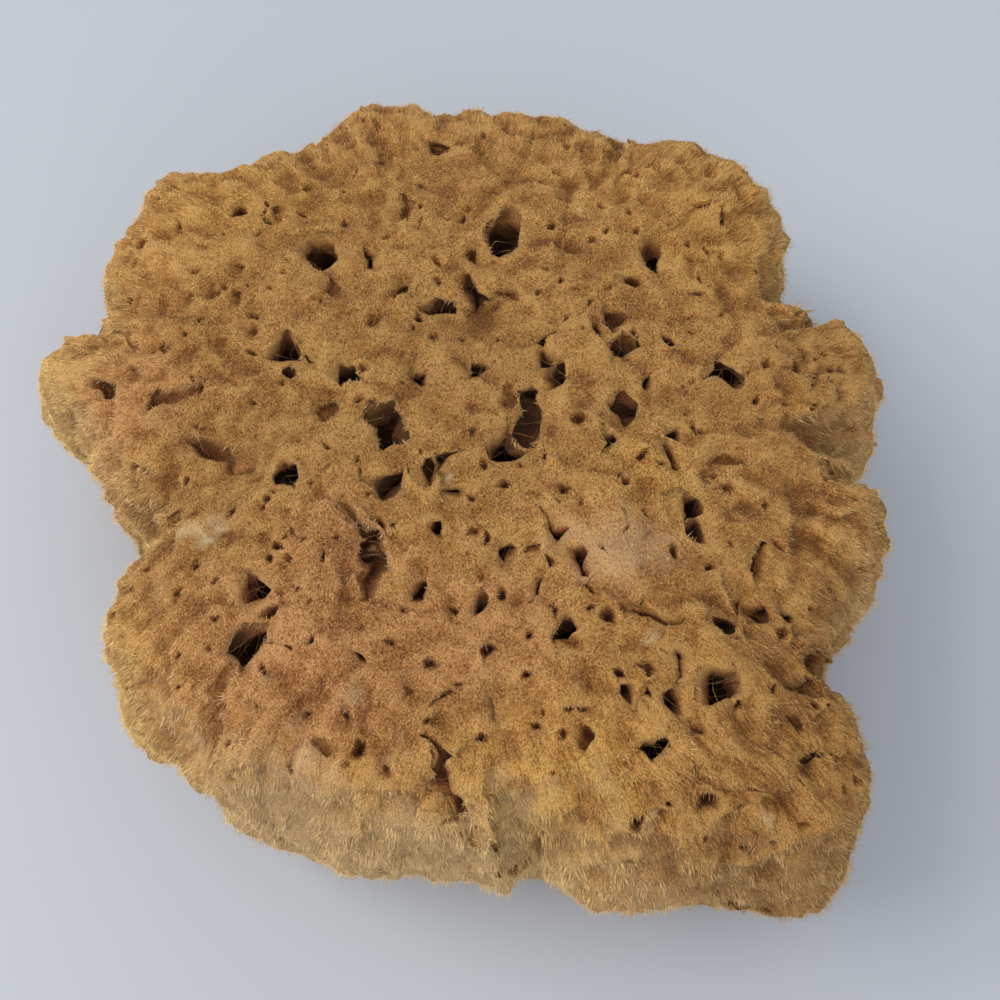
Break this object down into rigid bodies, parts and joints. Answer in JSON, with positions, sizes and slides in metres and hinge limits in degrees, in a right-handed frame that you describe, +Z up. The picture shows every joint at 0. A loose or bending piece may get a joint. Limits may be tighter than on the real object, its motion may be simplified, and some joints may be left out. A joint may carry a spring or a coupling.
{
  "type": "sea sponge",
  "caption": "Natural sea sponge: a low lobed bun of soft golden fibre with open pores, cut flat at its root to rest on.",
  "frame": {"origin": "middle of the flat cut that the sponge rests on", "axes": "+Z up out of the flat cut through the porous top; -Y is the front; +X is to the right seen from the front"},
  "size_m": [0.162, 0.1562, 0.0589],
  "materials": {
    "sponge_fibre": "matt, felted natural fibre"
  },
  "bodies": {
    "root": {"sponge": "sponge_fibre"}
  },
  "joints": []
}
